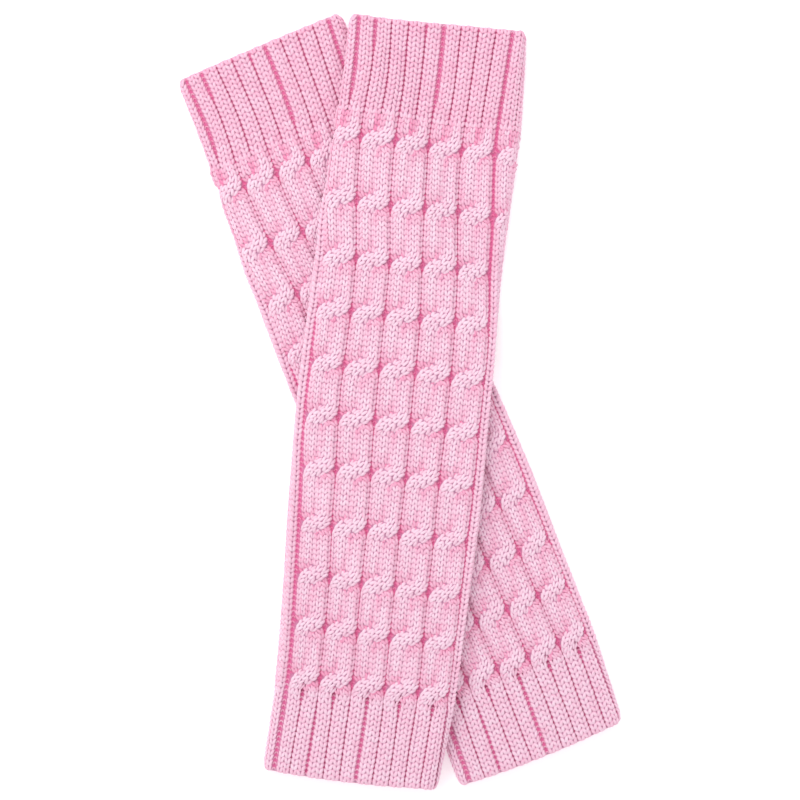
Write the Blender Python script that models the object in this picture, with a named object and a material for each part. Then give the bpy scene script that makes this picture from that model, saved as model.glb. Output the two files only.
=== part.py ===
"""A pair of cable-knit leg warmers, laid flat on a surface and crossed, one over the other.

Each leg warmer is one knitted tube: a ribbed cuff, a leg of rope cables and a second ribbed cuff. The tube is
pressed flat, so that its two layers lie just apart and its sides are rounded folds. Ribs and cables stand out
of the upper layer and the folds, and the lower layer is flat. The second leg warmer is draped over the first.
"""

import math

import bmesh
import bpy
from mathutils import Vector

# Every size is in millimetres, and the meshes are made in metres.
MM = 0.001

# The tube: its wall between the ribs, the gap between its layers, the radius of its folded sides, and the radius
# that the knitting has its full width at where it turns round them.
WALL = 2.7
LAYER_GAP = 1.2
FOLD_RADIUS = WALL + LAYER_GAP / 2
TURN_RADIUS = 5.0
LENGTH = 404.0
PIECE_GAP = 0.3
UPPER_CUFF_END = 55.0
LOWER_CUFF_START = 358.0

# The knitting: cables round the tube, two ribs to a cable, and how far each kind of relief stands out.
CABLES = 11
RIBS_PER_CABLE = 2
RIB_RISE = 2.3
STRAND_RISE = 3.0
CROSSING_RISE = 3.9
HIDDEN_STRAND_RISE = 1.2

# A cable's two strands, in cable widths: their middles, half width, spread at a crossing, and the gutter beside.
STRAND_PLACES = (0.257, 0.743)
STRAND_HALF_WIDTH = 0.29
CROSSING_SPREAD = 0.45
GUTTER_HALF_WIDTH = 0.16
CROSSING_HALF_LENGTH = 7.0
CROSSINGS = (65.2, 98.9, 129.0, 157.0, 185.7, 213.4, 241.3, 270.8, 299.0, 325.5, 352.8)
RIB_TO_CABLE = 7.0
HEM_ROUNDING = 2.5
HEM_SHARE = 0.55

# Round a folded side, by the angle from its top: the cables are pressed as low as the ribs by the first angle, and
# all the relief dies away between the other two.
PRESSED_BY = math.radians(60)
RELIEF_FULL_TO = math.radians(100)
RELIEF_GONE_BY = math.radians(150)

# One leg warmer, by distance along it from the upper hem: its centre line's shift to the right, its whole width,
# the place of the knitting's middle groove, which shows how the tube is turned, and the width of a cable.
SECTION_COLUMNS = ("along", "shift", "width", "turn", "cable")
SECTIONS = (
    (0.0, 0.0, 94.8, 2.8, 18.4),
    (32.0, 0.5, 96.8, 2.4, 17.7),
    (62.0, 0.7, 98.4, 1.2, 17.9),
    (100.0, -0.4, 99.2, 4.2, 18.1),
    (129.0, -1.0, 100.0, 7.5, 17.9),
    (162.0, -0.9, 101.2, 9.3, 18.6),
    (202.0, -0.7, 102.2, 9.8, 18.9),
    (259.0, 0.7, 102.4, 9.9, 18.2),
    (310.0, 1.5, 98.9, 10.1, 17.6),
    (355.0, 1.7, 96.4, 10.7, 17.4),
    (404.0, -0.6, 94.4, 11.7, 17.5),
)

# Where each leg warmer lies: the middle of its upper hem, its heading from straight down in degrees, how far its
# middle bows to its right, how far its two hems bow out, and how far the upper hem's right corner is drawn up.
PLACE_COLUMNS = ("name", "hem_x", "hem_y", "heading", "bow", "upper_bow", "lower_bow", "lean")
PLACES = (
    ("under", -74.9, 188.2, 21.86, -1.1, 0.5, 2.0, 0.9),
    ("over", 20.7, 200.7, -6.65, 0.0, 0.0, 1.9, 1.1),
)
HEM_REACH = 50.0

# How far a hem's corners are drawn in, and the share of the half width that they start at.
CORNER_DRAWN_IN = 2.0
CORNER_START = 0.93

# The drape: the height that the lower tube holds the upper one at, and how wide the slope beside it is.
DRAPE_HEIGHT = 2 * FOLD_RADIUS + CROSSING_RISE + PIECE_GAP
SLOPE_OUTSIDE = 24.0
SLOPE_INSIDE = 4.0

# Columns of points in one cable's width, and the stretch of cables that have them all; the rest lie underneath.
RIB_POINTS = (0.0, 0.12, 0.38, 0.5, 0.62, 0.88)
CABLE_POINTS = (0.0, 0.09, 0.27, 0.5, 0.73, 0.91)
FIRST_SHOWN, LAST_SHOWN = -4, 3

# Rows of points beside each crossing. They slant with the strand on top, by this much over a cable's width.
CROSSING_ROWS = (-10.5, -7.5, -3.5, 0.5, 4.5, 8.0)
ROW_SLANT = 15.0
CUFF_STEPS = 3

# The longest steps of the plain faces inside and underneath, along it and round it: short where it is draped.
PLAIN_STEP = {"over": 10.0, "under": 35.0}
PLAIN_TURNS = {"over": 0.52, "under": 2.0}
INSIDE_TURNS = 0.5

PINK = (0.93, 0.42, 0.60, 1.0)
CUFF_PINK = (0.91, 0.38, 0.57, 1.0)
KNIT_ROUGHNESS = 0.92


def smooth(value):
    """0 below 0, 1 above 1 and an even S between."""
    value = min(max(value, 0.0), 1.0)
    return value * value * (3 - 2 * value)


def section(name, along):
    """One column of the section table at a distance along the leg warmer, on a smooth curve through its rows."""
    at = SECTION_COLUMNS.index(name)
    rows = SECTIONS
    along = min(max(along, rows[0][0]), rows[-1][0])
    i = max(k for k in range(len(rows) - 1) if rows[k][0] <= along)
    before, start, end, after = (rows[min(max(k, 0), len(rows) - 1)] for k in (i - 1, i, i + 1, i + 2))
    span = end[0] - start[0]
    slope_in = (end[at] - before[at]) / (end[0] - before[0]) * span
    slope_out = (after[at] - start[at]) / (after[0] - start[0]) * span
    t = (along - start[0]) / span
    return (
        (2 * t**3 - 3 * t**2 + 1) * start[at]
        + (t**3 - 2 * t**2 + t) * slope_in
        + (3 * t**2 - 2 * t**3) * end[at]
        + (t**3 - t**2) * slope_out
    )


def dome(distance, half_width):
    """A rounded ridge's height, 1 on its middle line and 0 past its half width."""
    return math.sqrt(max(0.0, 1 - (distance / half_width) ** 2))


def rib_relief(turns):
    """The height of the ribbing at a place counted in cables round the tube."""
    return RIB_RISE * math.sqrt(abs(math.sin(math.pi * RIBS_PER_CABLE * turns)))


def cable_relief(turns, along):
    """The height of a two-strand cable: at each crossing the strand that runs up to the right lies on top."""
    place = turns % 1.0
    crossing = min(CROSSINGS, key=lambda c: abs(c - along))
    passed = smooth((along - crossing) / (2 * CROSSING_HALF_LENGTH) + 0.5)
    lifted = math.sin(math.pi * passed)
    left, right = STRAND_PLACES
    half_width = STRAND_HALF_WIDTH * (1 + CROSSING_SPREAD * lifted)
    top_strand = dome(place - (right + (left - right) * passed), half_width)
    low_strand = dome(place - (left + (right - left) * passed), half_width)
    top_rise = STRAND_RISE + (CROSSING_RISE - STRAND_RISE) * lifted
    low_rise = STRAND_RISE + (HIDDEN_STRAND_RISE - STRAND_RISE) * lifted
    beside_gutter = math.sqrt(smooth(min(place, 1 - place) / GUTTER_HALF_WIDTH))
    return max(top_rise * top_strand, low_rise * low_strand) * beside_gutter


def relief(turns, along):
    """How far the knitting stands out of the wall: ribs on the cuffs, cables on the leg, less at the two hems."""
    cable_share = smooth((along - UPPER_CUFF_END) / RIB_TO_CABLE + 1)
    cable_share *= smooth((LOWER_CUFF_START - along) / RIB_TO_CABLE + 1)
    height = (1 - cable_share) * rib_relief(turns) + cable_share * cable_relief(turns, along)
    from_hem = min(along, LENGTH - along)
    return height * (HEM_SHARE + (1 - HEM_SHARE) * smooth(from_hem / HEM_ROUNDING))


def distance_round(turns, along, round_it):
    """How far round the tube a place lies: its shown cables are even, and the others share what is left beneath."""
    cable = section("cable", along)
    if turns <= LAST_SHOWN:
        return turns * cable + section("turn", along)
    beneath = (turns - LAST_SHOWN) / (FIRST_SHOWN + CABLES - LAST_SHOWN)
    left_over = round_it - (LAST_SHOWN - FIRST_SHOWN) * cable
    return LAST_SHOWN * cable + section("turn", along) + beneath * left_over


def pressed(height, bend):
    """What is left of a height of relief where the tube bends round its folded side."""
    height -= max(height - RIB_RISE, 0.0) * smooth(bend / PRESSED_BY)
    return height * (1 - smooth((bend - RELIEF_FULL_TO) / (RELIEF_GONE_BY - RELIEF_FULL_TO)))


def cross_section(turns, along, inside):
    """(across, up) of a point of the flattened tube, by its place in cables round it. inside is its inner face."""
    flat = section("width", along) / 2 - RIB_RISE - FOLD_RADIUS
    round_it = 4 * flat + 2 * math.pi * TURN_RADIUS
    around = distance_round(turns, along, round_it)
    around = (around + round_it / 2) % round_it - round_it / 2
    side = math.copysign(1.0, around)
    bend = min(max((abs(around) - flat) / TURN_RADIUS, 0.0), math.pi)
    past_fold = max(abs(around) - flat - math.pi * TURN_RADIUS, 0.0)
    straight = min(abs(around), flat) - past_fold
    out = -WALL if inside else pressed(relief(turns, along), bend)
    radius = FOLD_RADIUS + out
    return side * (straight + radius * math.sin(bend)), FOLD_RADIUS + radius * math.cos(bend)


def plan_axes(heading):
    """The two directions of a leg warmer's plan: along it, and to its right."""
    angle = math.radians(heading)
    return Vector((math.sin(angle), -math.cos(angle))), Vector((math.cos(angle), math.sin(angle)))


def place_of(name):
    """One row of the place table, with its hem point and its two directions as vectors."""
    row = dict(zip(PLACE_COLUMNS, next(r for r in PLACES if r[0] == name), strict=True))
    row["hem"] = Vector((row["hem_x"], row["hem_y"]))
    row["down"], row["right"] = plan_axes(row["heading"])
    return row


def centre_line(place, along):
    """How far the middle of a leg warmer lies to the right of its straight line."""
    return section("shift", along) + place["bow"] * math.sin(math.pi * along / LENGTH)


def hem_shift(place, along, across):
    """How far down a point near a hem moves: hems bow out between rounded corners, and the upper one leans."""
    sideways = across / (section("width", along) / 2)
    middle = 1 - sideways**2
    corner = CORNER_DRAWN_IN * smooth((abs(sideways) - CORNER_START) / (1 - CORNER_START))
    near_upper = smooth(1 - along / HEM_REACH)
    near_lower = smooth(1 - (LENGTH - along) / HEM_REACH)
    upper = place["upper_bow"] * middle + place["lean"] * sideways - corner
    lower = place["lower_bow"] * middle - corner
    return lower * near_lower - upper * near_upper


def drape(spot):
    """How high the lower leg warmer holds the upper one up at a spot of the plan."""
    under = place_of("under")
    along = (spot - under["hem"]).dot(under["down"])
    across = (spot - under["hem"]).dot(under["right"]) - centre_line(under, along)
    inside = min(section("width", along) / 2 - abs(across), along, LENGTH - along)
    return DRAPE_HEIGHT * smooth((inside + SLOPE_OUTSIDE) / (SLOPE_OUTSIDE + SLOPE_INSIDE))


def point(name, turns, along, inside=False):
    """A point of a leg warmer in the shared frame, in metres."""
    place = place_of(name)
    across, up = cross_section(turns, along, inside)
    down_it = along + hem_shift(place, along, across)
    spot = place["hem"] + place["down"] * down_it + place["right"] * (centre_line(place, along) + across)
    if name == "over":
        up += drape(spot)
    return Vector((spot.x, spot.y, up)) * MM


def shown_columns(points_in_cable):
    """Places round the tube, in cables, of every relief point where the knitting shows."""
    return [cable + f for cable in range(FIRST_SHOWN, LAST_SHOWN) for f in points_in_cable] + [LAST_SHOWN]


def even_steps(start, end, longest):
    """Distances from start to end in even steps of at most the longest."""
    count = math.ceil((end - start) / longest)
    return [start + (end - start) * k / count for k in range(count + 1)]


def slanted(turns):
    """How far down a row's point lies, so that rows follow the upper strand across each cable."""
    place = turns % 1.0
    gutter = CABLE_POINTS[1]
    if place < gutter or place > 1 - gutter:
        return 0.0
    return ROW_SLANT * (0.5 - place)


def leg_rows(start, end):
    """Distances along the leg, one list for each row: its two ends and the slanted rows beside each crossing."""
    places = shown_columns(CABLE_POINTS)
    near = [crossing + row for crossing in CROSSINGS for row in CROSSING_ROWS]
    clear = ROW_SLANT / 2 + 1
    rows = [[a + slanted(t) for t in places] for a in near if start + clear < a < end - clear]
    return [[start] * len(places)] + rows + [[end] * len(places)]


def cuff_rows(start, end):
    """Distances along a cuff, one list for each row, with one row more where the hem is rounded off."""
    places = shown_columns(RIB_POINTS)
    hem = HEM_ROUNDING if start == 0 else LENGTH - HEM_ROUNDING
    rows = even_steps(start, end, (end - start) / CUFF_STEPS) + [hem]
    return [[a] * len(places) for a in sorted(rows)]


def strip(bm, first, second, flipped):
    """Faces between two lines of vertices that start and end together; each face spans one step of the shorter."""
    if len(second) > len(first):
        strip(bm, second, first, not flipped)
        return
    fine = [v.co for v in first]
    joins = [0]
    for vertex in second[1:-1]:
        rest = range(joins[-1] + 1, len(fine) - len(second) + len(joins) + 1)
        joins.append(min(rest, key=lambda i: (fine[i] - vertex.co).length))
    joins.append(len(fine) - 1)
    for k in range(len(second) - 1):
        face = first[joins[k] : joins[k + 1] + 1] + [second[k + 1], second[k]]
        bm.faces.new(face[::-1] if flipped else face)


def sheet(bm, grid, flipped):
    """Quads over a grid of vertices, row by row."""
    for first, second in zip(grid, grid[1:]):
        for k in range(len(first) - 1):
            face = (second[k], second[k + 1], first[k + 1], first[k])
            bm.faces.new(face[::-1] if flipped else face)


def tube(name, leg_warmer, rows, points_in_cable, colour):
    """One closed piece of the knitted tube between its first and last rows, with relief outside, plain inside."""
    bm = bmesh.new()
    start, end = rows[0][0], rows[-1][0]
    shown = shown_columns(points_in_cable)
    turns = PLAIN_TURNS[leg_warmer]
    beneath = even_steps(LAST_SHOWN, FIRST_SHOWN + CABLES, turns)
    within = even_steps(FIRST_SHOWN, FIRST_SHOWN + CABLES, INSIDE_TURNS)[:-1]
    plain_rows = even_steps(start, end, PLAIN_STEP[leg_warmer])

    def ring(places, along, inside=False):
        return [bm.verts.new(point(leg_warmer, t, along, inside)) for t in places]

    knit = [[bm.verts.new(point(leg_warmer, t, a)) for t, a in zip(shown, row)] for row in rows]
    bottom = [ring(beneath[1:-1], a) for a in plain_rows]
    inner = [ring(within, a, True) for a in plain_rows]
    sheet(bm, knit, False)
    sheet(bm, bottom, False)
    sheet(bm, [r + r[:1] for r in inner], True)
    right = [row[-1] for row in knit]
    left = [row[0] for row in knit]
    strip(bm, right, [row[0] for row in bottom], False)
    strip(bm, left, [row[-1] for row in bottom], True)
    for at in (0, -1):
        outer = knit[at] + bottom[at]
        outer = outer + outer[:1]
        strip(bm, outer, inner[at] + inner[at][:1], at == -1)
    bmesh.ops.triangulate(bm, faces=bm.faces[:])
    mesh = bpy.data.meshes.new(name)
    bm.to_mesh(mesh)
    bm.free()
    mesh.shade_smooth()
    mesh.materials.append(knit_material(name, colour))
    bpy.context.scene.collection.objects.link(bpy.data.objects.new(name, mesh))


def knit_material(name, colour):
    """A matt, pale pink yarn."""
    material = bpy.data.materials.new(name + "_yarn")
    material.use_nodes = True
    shader = material.node_tree.nodes["Principled BSDF"]
    shader.inputs["Base Color"].default_value = colour
    shader.inputs["Roughness"].default_value = KNIT_ROUGHNESS
    material.diffuse_color = colour
    return material


def make_leg_warmer(name):
    """The upper cuff, the cabled leg and the lower cuff of one leg warmer."""
    half_gap = PIECE_GAP / 2
    upper = cuff_rows(0.0, UPPER_CUFF_END - half_gap)
    leg = leg_rows(UPPER_CUFF_END + half_gap, LOWER_CUFF_START - half_gap)
    lower = cuff_rows(LOWER_CUFF_START + half_gap, LENGTH)
    tube(name + "_upper_cuff", name, upper, RIB_POINTS, CUFF_PINK)
    tube(name + "_leg", name, leg, CABLE_POINTS, PINK)
    tube(name + "_lower_cuff", name, lower, RIB_POINTS, CUFF_PINK)


def main():
    for old in list(bpy.data.objects):
        bpy.data.objects.remove(old)
    for row in PLACES:
        make_leg_warmer(row[0])


main()
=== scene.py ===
"""Cable-knit leg warmers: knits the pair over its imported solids, stitch by stitch, and sets its stage.

Run as a script, or register it as an add-on to find its buttons in the 3D view's sidebar.
"""

import math

import bmesh
import bpy
import numpy as np
from bpy.props import FloatProperty, FloatVectorProperty, IntProperty, PointerProperty
from bpy.types import Operator, Panel, PropertyGroup
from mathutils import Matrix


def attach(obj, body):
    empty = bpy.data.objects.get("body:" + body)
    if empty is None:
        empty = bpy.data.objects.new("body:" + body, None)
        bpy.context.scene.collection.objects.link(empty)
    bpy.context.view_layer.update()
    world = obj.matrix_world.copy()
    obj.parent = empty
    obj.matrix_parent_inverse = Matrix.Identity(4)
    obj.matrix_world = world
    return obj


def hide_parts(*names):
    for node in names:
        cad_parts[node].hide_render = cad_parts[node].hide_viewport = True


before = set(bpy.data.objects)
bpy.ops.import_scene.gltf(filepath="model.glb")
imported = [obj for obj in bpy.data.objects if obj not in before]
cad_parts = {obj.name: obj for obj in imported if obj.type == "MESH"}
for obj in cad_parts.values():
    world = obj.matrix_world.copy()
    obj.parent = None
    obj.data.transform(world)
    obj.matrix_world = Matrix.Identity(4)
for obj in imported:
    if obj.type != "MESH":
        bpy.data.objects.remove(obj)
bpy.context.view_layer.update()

bl_info = {
    "name": "Cable-knit Leg Warmers",
    "version": (1, 0, 0),
    "blender": (4, 5, 0),
    "location": "View3D > Sidebar > Knitting",
    "description": "Knits a crossed pair of cable-knit leg warmers and sets a plain white stage",
    "category": "Object",
}

MM = 0.001

# The tube, in millimetres: its length, its wall, the gap between its flattened layers, its folded sides and
# its cuffs.
LENGTH = 404.0
WALL = 2.7
LAYER_GAP = 1.2
FOLD_RADIUS = WALL + LAYER_GAP / 2
TURN_RADIUS = 5.0
UPPER_CUFF_END = 55.0
LOWER_CUFF_START = 358.0

# The knitting: cables round the tube, those that show on top, and where their strands cross.
CABLES = 11
FIRST_SHOWN, LAST_SHOWN = -4, 3
CROSSINGS = (65.2, 98.9, 129.0, 157.0, 185.7, 213.4, 241.3, 270.8, 299.0, 325.5, 352.8)
CROSSING_HALF_LENGTH = 7.0
RIB_TO_CABLE = 7.0

# Near a crossing: the share of their distance that rows are drawn in by, and how far along the tube this
# and the shade of the strand on top reach, in millimetres.
ROW_PULL = 0.22
ROW_PULL_REACH = 6.0
SHADE_REACH = 15.0

# How far the ribs and a cable's strands stand out of the wall, in millimetres.
RIB_RISE = 2.3
STRAND_RISE = 3.0
CROSSING_RISE = 3.9
HIDDEN_STRAND_RISE = 1.2

# Places and half widths within one cable, as shares of its width. A strand spreads at a crossing, its outer
# stitches are squeezed in from the gutter, and the stitches at its edge keep a little of its height.
STRAND_PLACES = (0.257, 0.743)
RIB_PLACES = (0.25, 0.75)
STRAND_HALF_WIDTH = 0.29
RIB_HALF_WIDTH = 0.25
CROSSING_SPREAD = 0.56
GUTTER_HALF_WIDTH = 0.16
SQUEEZE = 0.04
DOME_EDGE = 0.02

# The slow swings of the gutters and of the rows: how many millimetres, and the waves round the tube with
# their length down it. Each is two swings, with these shares, and the second is this much shorter.
GUTTER_WANDER = 0.4
GUTTER_WAVES = (3, 27.0)
ROW_WANDER = 0.7
ROW_WAVES = (2, 41.0)
SWING_SHARES = (0.6, 0.4)
SECOND_SWING = 0.43

# The puckers where the ribs of the upper cuff run into a cable, which are only painted shade on the
# stitches, and the splits where a cable's strands part into the ribs of the lower cuff: how far down the
# tube, and how far they reach. The half widths are in cables.
PUCKER_AT = 56.0
PUCKER_REACH = 6.0
PUCKER_HALF_WIDTH = 0.2
SPLIT_AT = 361.0
SPLIT_REACH = 4.0
SPLIT_GAP = 2.0
SPLIT_HALF_WIDTH = 0.14

# The hems: how far in the relief is rounded off, the share of it that is left at the end, where the edge
# loops lie in each cable, how deep their outer and inner rings are sunk, and how far in from the end the
# relief is read.
HEM_ROUNDING = 2.5
HEM_SHARE = 0.55
HEM_LOOPS = (0.0, 0.085, 0.19, 0.31, 0.415, 0.5, 0.585, 0.69, 0.81, 0.915)
HEM_RINGS = (0.9, 1.75)
HEM_AT = 1.1

# Angles round a fold: where the cables are pressed as low as the ribs, where a cable has to have its middle
# for its strands to run straight, where the relief starts to die away, where it is gone, and where the
# stitches end.
PRESSED_BY = math.radians(60)
BANDS_END_AT = math.radians(78)
RELIEF_FULL_TO = math.radians(100)
RELIEF_GONE_BY = math.radians(150)
STITCHES_END_AT = math.radians(122)

# One leg warmer by distance from its upper hem, in millimetres: the shift of its middle, its width, the
# turn of its knitting and the width of a cable. The curve through them is read at this many samples.
SECTION_COLUMNS = ("along", "shift", "width", "turn", "cable")
SECTIONS = (
    (0.0, 0.0, 94.8, 2.8, 18.4),
    (32.0, 0.5, 96.8, 2.4, 17.7),
    (62.0, 0.7, 98.4, 1.2, 17.9),
    (100.0, -0.4, 99.2, 4.2, 18.1),
    (129.0, -1.0, 100.0, 7.5, 17.9),
    (162.0, -0.9, 101.2, 9.3, 18.6),
    (202.0, -0.7, 102.2, 9.8, 18.9),
    (259.0, 0.7, 102.4, 9.9, 18.2),
    (310.0, 1.5, 98.9, 10.1, 17.6),
    (355.0, 1.7, 96.4, 10.7, 17.4),
    (404.0, -0.6, 94.4, 11.7, 17.5),
)
CURVE_SAMPLES = 809

# Gutters that gape: the gutter by its place in cables, where it opens and closes, and how far, in
# millimetres.
GAPE_COLUMNS = ("gutter", "start", "end", "gap")
GAPES = (
    (-2.5, -20.0, 50.0, 2.1),
    (-2.0, -20.0, 22.0, 1.7),
    (-0.5, -20.0, 12.0, 1.0),
    (0.0, -20.0, 49.0, 2.0),
    (2.0, -20.0, 424.0, 1.6),
    (-0.5, 362.0, 424.0, 1.5),
    (-3.0, 158.0, 424.0, 2.5),
    (-2.0, 366.0, 424.0, 1.0),
)
GAPE_FADE = 10.0

# Where each leg warmer lies: the middle of its upper hem, its heading from straight down in degrees, how
# its middle and its two hems bow, and how far the upper hem leans.
PLACE_COLUMNS = ("name", "hem_x", "hem_y", "heading", "bow", "upper_bow", "lower_bow", "lean")
PLACES = (
    ("under", -74.9, 188.2, 21.86, -1.1, 0.5, 2.0, 0.9),
    ("over", 20.7, 200.7, -6.65, 0.0, 0.0, 1.9, 1.1),
)
GARMENTS = tuple(row[0] for row in PLACES)

# How far the bow of a hem is felt, how far its corners are drawn in, and the share of the half width they
# start at.
HEM_REACH = 50.0
CORNER_DRAWN_IN = 2.0
CORNER_START = 0.93

# The drape: the gap between the two leg warmers, how high the lower one holds the upper one, how wide the
# slope beside it is, and how far in from the cover's edge the lower one's stitches end.
GARMENT_GAP = 0.3
DRAPE_HEIGHT = 2 * FOLD_RADIUS + CROSSING_RISE + GARMENT_GAP
SLOPE_OUTSIDE = 24.0
SLOPE_INSIDE = 4.0
COVERED_FROM = 9.0

# Zones of knitting along the tube, each a piece of its own: the node that each stands for, and what it adds
# to the stitches' tone. The lower cuff's is painted light that makes up for the lamp's fall-off at the
# bottom.
LEG_MIDDLE = 206.5
ZONE_COLUMNS = ("name", "start", "end", "node", "tone")
ZONES = (
    ("upper_cuff", 0.0, UPPER_CUFF_END, "upper_cuff", -0.12),
    ("leg_top", UPPER_CUFF_END, LEG_MIDDLE, "leg", 0.0),
    ("leg_base", LEG_MIDDLE, LOWER_CUFF_START, "leg", 0.0),
    # Painted light: the lower cuff is made paler against the lamp's fall-off.
    ("lower_cuff", LOWER_CUFF_START, LENGTH, "lower_cuff", 0.03),
)
WHOLE_TUBE = ("leg", "upper_cuff", "lower_cuff")

# The cloth: its columns underneath, its rows inside, how close two points are that become one, the wales in
# a cable and the height of a row, in millimetres.
UNDERSIDE_COLUMNS = 24
INSIDE_ROWS = 60
JOIN_WITHIN = 1e-7
WALES_IN_CABLE = 6
ROW_HEIGHT = 2.77

# How deep the cloth is sunk: the share of its sink in a gutter, and the relief at which it has it all. Its
# tint is 1 for the painted shade of a gutter up to the first height, and falls over the second to the tint
# of the painted shadow behind the stitches.
SINK_IN_GUTTER = 0.4
FULL_SINK_AT = 0.8
GUTTER_SHADE_TO = 0.25
GUTTER_SHADE_FADE = 0.9
SHADOW_TINT = 0.5

# Short steps for measuring how a surface lies, in millimetres along the tube and in cables round it.
SLOPE_STEPS = (0.5, 0.02)
HEM_SLOPE_STEPS = (0.3, 0.03)

# Beads of yarn, as sides, rings and fullness, and the girth below which a bead's point is its pole.
STITCH_BEAD = (6, 4, 0.45)
PURL_BEAD = (5, 3, 0.7)
HEM_BEAD = (6, 4, 0.6)
POLE = 1e-6

# A stitch: how deep it is sunk, in yarns; how far its leg arches up, dips to its upper end and lies below
# the rest, in millimetres; how flat the yarn is, how thin and thick it gets, and how unevenly the legs
# lean. A strand has a middle wale where the knitting is more than this much in cables. The seeds of the
# random draws are this far apart.
STITCH_SUNK = 0.42
LEG_ARCH = 0.35
LEG_DIP = 0.5
LEG_BELOW = 0.1
YARN_FLATNESS = 0.75
YARN_RANGE = (0.55, 1.2)
LEG_LEAN = 0.05
MIDDLE_WALE_FROM = 0.2
SEED_STEP = 7

# A stitch's tone, 0 in the hollows to 1 on the crests, which paints its shade and highlight: at the foot of
# the relief, and the painted highlight that its height adds from the first height over the second; what a
# crossing's shade takes off, and how much less of it beside a gutter; the painted shade that the middle of
# a cable and a pucker take off, and its unevenness.
FOOT_TONE = 0.54
HEIGHT_HIGHLIGHT = 0.44
TONE_FROM = 0.4
TONE_OVER = 3.2
SHADE_TONE = 0.5
SHADE_EASED = 0.35
MIDDLE_SHADE = 0.1
PUCKER_SHADE = 0.35
UNEVEN_TONE = 0.05

# Across one leg of a stitch: the painted shade that its edge loses in tone, the painted highlight that its
# crest gains, the depth that this starts at and the height that it takes, in millimetres.
LEG_EDGE_SHADE = 0.13
LEG_CREST_HIGHLIGHT = 0.2
CREST_FROM = 0.8
CREST_OVER = 1.5

# A purl stitch: how far out it lies, how far its beads overlap, slant, in rows, and dip, and their two
# radii, in millimetres. The gutters between ribs have purls where the knitting is less than this much in
# cables. The seed is that of the random draws.
PURL_OUT = 0.1
PURL_OVERLAP = 0.1
PURL_SLANT = 0.5
PURL_DIP = 0.35
PURL_RADII = (0.62, 0.6)
RIB_PURLS_TO = 0.95
PURL_SEED = 23

# The tone of a purl stitch, low for painted shade in the gutters: in the leg's gutters, apart from the two
# at its left fold, elsewhere, what the lower cuff adds to ease that painted shade, and its unevenness.
LEG_PURL_TONE = 0.05
OTHER_PURL_TONE = 0.3
LOWER_PURL_TONE = 0.27
UNEVEN_PURL_TONE = 0.08

# The loops of a hem, in millimetres: how far from the end each ring lies, how much nearer a rib's loops
# are, as a share of their height, how much farther a gutter's are, their unevenness and their two radii. A
# loop's width is a share of a cable. The seed is that of the random draws.
OUTER_RING_AT = 1.0
INNER_RING_AT = 0.5
RIB_NEARER = 0.3
GUTTER_FARTHER = 0.7
UNEVEN_HEM = 0.14
HEM_RADII = (0.75, 0.9)
HEM_LOOP_WIDTH = 0.1
HEM_SEED = 5

# The tone of a hem's loops: outside in a gutter, low for painted shade, what a rib adds by its height as a
# painted highlight, and inside.
HEM_TONE = 0.1
HEM_RIB_TONE = 0.6
INSIDE_HEM_TONE = 0.55

# The stage, in metres: how far the floor lies below the pair, the lamp's width, place and tilt, and how far
# the camera stands off the middle.
FLOOR_DROP = 0.0004
LAMP_WIDTH = 0.9
LAMP_PLACE = (-0.55, 0.75, 1.1)
LAMP_TILT = (-math.radians(34), -math.radians(26), 0)
CAMERA_ASIDE = 0.0007


def smooth(value):
    """0 below 0, 1 above 1 and an even S between."""
    value = np.clip(value, 0.0, 1.0)
    return value * value * (3 - 2 * value)


def section_curve(column):
    """Samples of one section column along the tube, on a smooth curve through the table's rows."""
    rows = np.array(SECTIONS)
    slopes = np.gradient(rows[:, column], rows[:, 0])
    samples = np.linspace(0.0, LENGTH, CURVE_SAMPLES)
    i = np.clip(np.searchsorted(rows[:, 0], samples, side="right") - 1, 0, len(rows) - 2)
    span = rows[i + 1, 0] - rows[i, 0]
    t = (samples - rows[i, 0]) / span
    values = (2 * t**3 - 3 * t**2 + 1) * rows[i, column] + (t**3 - 2 * t**2 + t) * span * slopes[i]
    values += (3 * t**2 - 2 * t**3) * rows[i + 1, column] + (t**3 - t**2) * span * slopes[i + 1]
    return samples, values


SECTION_CURVES = {name: section_curve(SECTION_COLUMNS.index(name)) for name in SECTION_COLUMNS[1:]}


def section(name, along):
    """One column of the section table at distances along the tube."""
    return np.interp(along, *SECTION_CURVES[name])


def named(columns, row):
    """A table's row as a dictionary of its columns."""
    return dict(zip(columns, row, strict=True))


def place_of(name):
    """One row of the place table, with its hem point and its two directions in the plan."""
    row = named(PLACE_COLUMNS, next(r for r in PLACES if r[0] == name))
    angle = math.radians(row["heading"])
    row["hem"] = np.array((row["hem_x"], row["hem_y"]))
    row["down"] = np.array((math.sin(angle), -math.cos(angle)))
    row["right"] = np.array((math.cos(angle), math.sin(angle)))
    return row


def centre_line(place, along):
    """How far the middle of a leg warmer lies to the right of its straight line."""
    return section("shift", along) + place["bow"] * np.sin(math.pi * along / LENGTH)


def inside_outline(place, x, y):
    """How far inside a leg warmer's outline a spot of the plan lies, negative outside it."""
    spot = np.stack((x, y), axis=-1) - place["hem"]
    along = spot @ place["down"]
    across = spot @ place["right"] - centre_line(place, along)
    side = section("width", along) / 2 - np.abs(across)
    return np.minimum(np.minimum(side, along), LENGTH - along)


def cable_share(along):
    """1 where the knitting is in cables, 0 where it is ribbed, and a quick change between."""
    below_cuff = smooth((along - UPPER_CUFF_END) / RIB_TO_CABLE + 1)
    return below_cuff * smooth((LOWER_CUFF_START - along) / RIB_TO_CABLE + 1)


def drawn_in(right, along):
    """Where the rows of a strand lie: those of the strand on top are drawn in towards the crossing."""
    moved = np.zeros(np.broadcast(right, along).shape)
    for count, crossing in enumerate(CROSSINGS):
        off = along - crossing
        moved += (right == (count % 2 == 0)) * ROW_PULL * off * np.exp(-((off / ROW_PULL_REACH) ** 2))
    return along - moved


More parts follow.
